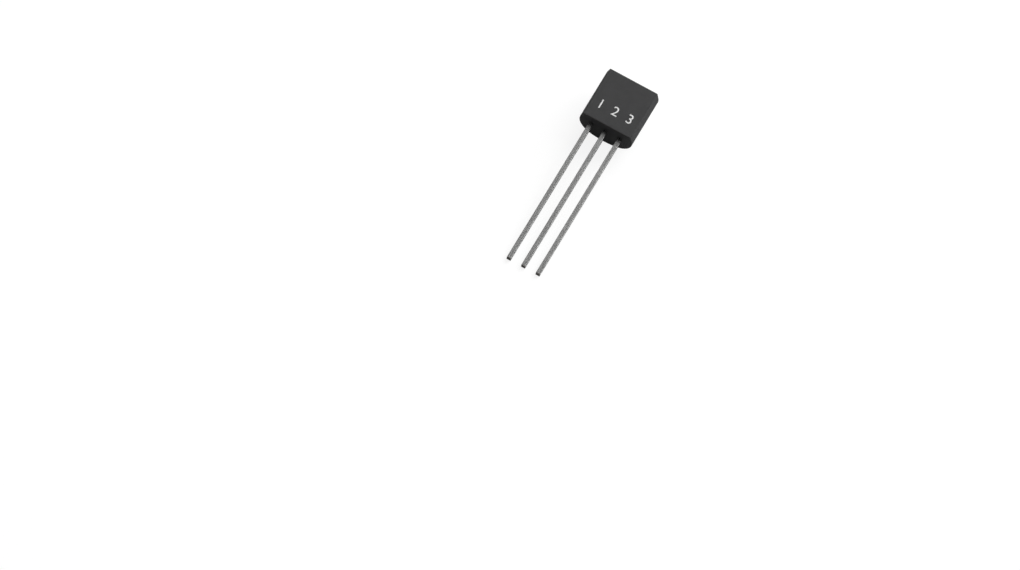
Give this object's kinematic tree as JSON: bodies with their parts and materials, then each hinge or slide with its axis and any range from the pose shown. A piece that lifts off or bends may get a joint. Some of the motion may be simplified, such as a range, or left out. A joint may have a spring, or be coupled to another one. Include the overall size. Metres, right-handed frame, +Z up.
{
  "type": "three-lead transistor in a moulded plastic package",
  "caption": "Small D-shaped plastic transistor: flat marked face, round back with an ejector mark, straight flat leads from its underside for through-hole soldering.",
  "frame": {"origin": "on the floor, under the middle of the part's bounding box, with the part lying on its round back and its lead tips", "axes": "+X along the row of leads from lead 1 to lead 3, +Y from the lead tips to the package, +Z up; the leads and the flat face lean 6.9 degrees from the floor"},
  "size_m": [0.0046, 0.0178, 0.0034],
  "materials": {
    "moulding": "fine moulded texture, near black",
    "plated_lead": "satin tin plate",
    "solder": "dull solder",
    "silicon": "polished dark grey silicon",
    "marking_ink": "white printed ink",
    "bond_wire": "bright drawn gold"
  },
  "bodies": {
    "root": {"moulded_body": "moulding", "lead_emitter": "plated_lead", "lead_collector": "plated_lead", "lead_base": "plated_lead", "die_solder": "solder", "silicon_die": "silicon", "bond_wire_emitter": "bond_wire", "bond_wire_base": "bond_wire"}
  },
  "joints": []
}
